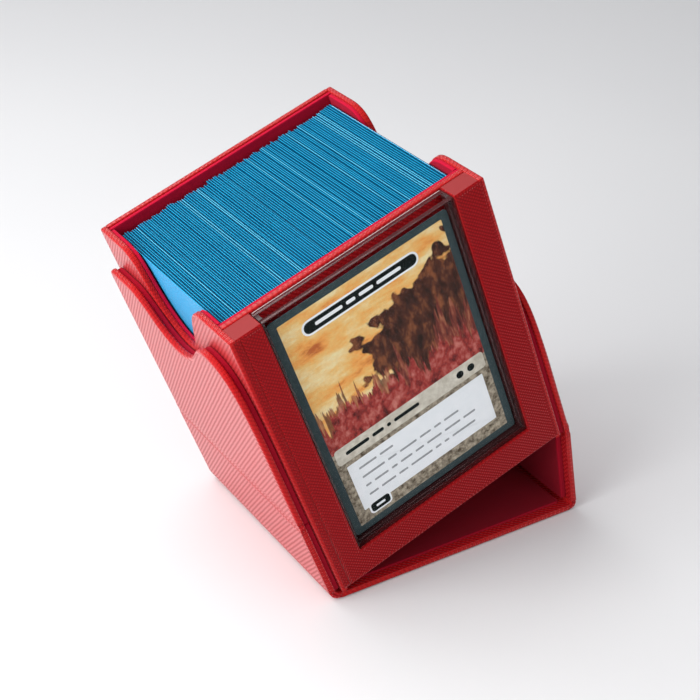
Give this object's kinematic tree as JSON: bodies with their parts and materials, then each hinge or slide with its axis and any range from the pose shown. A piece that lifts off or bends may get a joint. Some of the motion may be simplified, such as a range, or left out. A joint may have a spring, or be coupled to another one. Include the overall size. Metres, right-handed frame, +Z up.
{
  "type": "card deck box",
  "caption": "Red covered-board deck box of sleeved cards with a clear card case on its front, leaning in its folded U-shaped magnetic cover.",
  "frame": {"origin": "centre of the bounding box of the whole part, on the surface that it stands on", "axes": "+Z up, +X to the right along the cover floor, away from the lean; +Y from the display front to the back"},
  "size_m": [0.1288, 0.0844, 0.1314],
  "materials": {
    "cover_red": "red synthetic leather with a fine woven emboss, over board",
    "lining_crimson": "crimson microfibre, matt",
    "magnet_nickel": "nickel-plated disc magnet",
    "clear_case": "clear polished plastic",
    "card_print": "printed card with a satin coating",
    "sleeve_blue": "blue card sleeves, satin"
  },
  "bodies": {
    "stand_floor": {"stand_floor_board": "cover_red", "stand_floor_lining": "lining_crimson", "left_floor_hinge": "cover_red", "right_floor_hinge": "cover_red"},
    "left_wall_lower": {"left_wall_lower_board": "cover_red", "left_wall_lower_lining": "lining_crimson", "left_crease_hinge": "cover_red"},
    "left_wall_upper": {"left_wall_upper_board": "cover_red", "left_wall_upper_lining": "lining_crimson", "left_wall_upper_magnet_front": "magnet_nickel", "left_wall_upper_magnet_rear": "magnet_nickel"},
    "right_flap": {"right_flap_board": "cover_red", "right_flap_lining": "lining_crimson", "right_crease_hinge": "cover_red"},
    "right_wall_upper": {"right_wall_upper_board": "cover_red", "right_wall_upper_lining": "lining_crimson", "right_wall_upper_magnet_front": "magnet_nickel", "right_wall_upper_magnet_rear": "magnet_nickel"},
    "deck_box": {"box_floor_board": "cover_red", "box_left_board": "cover_red", "box_left_magnet_front": "magnet_nickel", "box_left_magnet_rear": "magnet_nickel", "box_right_board": "cover_red", "box_right_magnet_front": "magnet_nickel", "box_right_magnet_rear": "magnet_nickel", "box_front_board": "cover_red", "box_back_board": "cover_red", "box_front_lining": "lining_crimson", "box_back_lining": "lining_crimson", "box_left_lining": "lining_crimson", "box_right_lining": "lining_crimson", "box_floor_pad": "lining_crimson", "display_frame": "cover_red", "display_spacer_left": "cover_red", "display_spacer_right": "cover_red", "display_sill": "cover_red"},
    "card_case": {"case_front_window": "clear_case", "case_back_plate": "clear_case", "case_rail_left": "clear_case", "case_rail_right": "clear_case", "case_rail_bottom": "clear_case"},
    "display_card": {"display_card": "card_print"},
    "cards_left": {"cards_left_1": "sleeve_blue", "cards_left_2": "sleeve_blue", "cards_left_3": "sleeve_blue", "cards_left_4": "sleeve_blue", "cards_left_5": "sleeve_blue"},
    "cards_middle": {"cards_middle_1": "sleeve_blue", "cards_middle_2": "sleeve_blue", "cards_middle_3": "sleeve_blue", "cards_middle_4": "sleeve_blue", "cards_middle_5": "sleeve_blue"},
    "cards_right": {"cards_right_1": "sleeve_blue", "cards_right_2": "sleeve_blue", "cards_right_3": "sleeve_blue", "cards_right_4": "sleeve_blue", "cards_right_5": "sleeve_blue"}
  },
  "joints": [
    {"name": "left_wall_fold", "type": "hinge", "parent": "stand_floor", "child": "left_wall_lower", "pos_m": [-0.03139, 0, 0], "axis": [0, -1, 0], "range_deg": [0, 50]},
    {"name": "left_crease_fold", "type": "hinge", "parent": "left_wall_lower", "child": "left_wall_upper", "pos_m": [-0.04279, 0, 0.03133], "axis": [0, -1, 0], "range_deg": [0, 30]},
    {"name": "right_flap_fold", "type": "hinge", "parent": "stand_floor", "child": "right_flap", "pos_m": [0.06461, 0, 0], "axis": [0, 1, 0], "range_deg": [0, 75]},
    {"name": "right_crease_fold", "type": "hinge", "parent": "right_flap", "child": "right_wall_upper", "pos_m": [0.05882, 0, 0.03283], "axis": [0, 1, 0], "range_deg": [0, 40]},
    {"name": "deck_box_lift", "type": "slide", "parent": "stand_floor", "child": "deck_box", "axis": [-0.342, 0, 0.9397], "range_m": [0, 0.1]},
    {"name": "card_case_slide", "type": "slide", "parent": "deck_box", "child": "card_case", "axis": [-0.342, 0, 0.9397], "range_m": [0, 0.098]},
    {"name": "display_card_slide", "type": "slide", "parent": "card_case", "child": "display_card", "axis": [-0.342, 0, 0.9397], "range_m": [0, 0.092]},
    {"name": "cards_left_lift", "type": "slide", "parent": "deck_box", "child": "cards_left", "axis": [-0.342, 0, 0.9397], "range_m": [0, 0.095]},
    {"name": "cards_middle_lift", "type": "slide", "parent": "deck_box", "child": "cards_middle", "axis": [-0.342, 0, 0.9397], "range_m": [0, 0.095]},
    {"name": "cards_right_lift", "type": "slide", "parent": "deck_box", "child": "cards_right", "axis": [-0.342, 0, 0.9397], "range_m": [0, 0.095]}
  ]
}
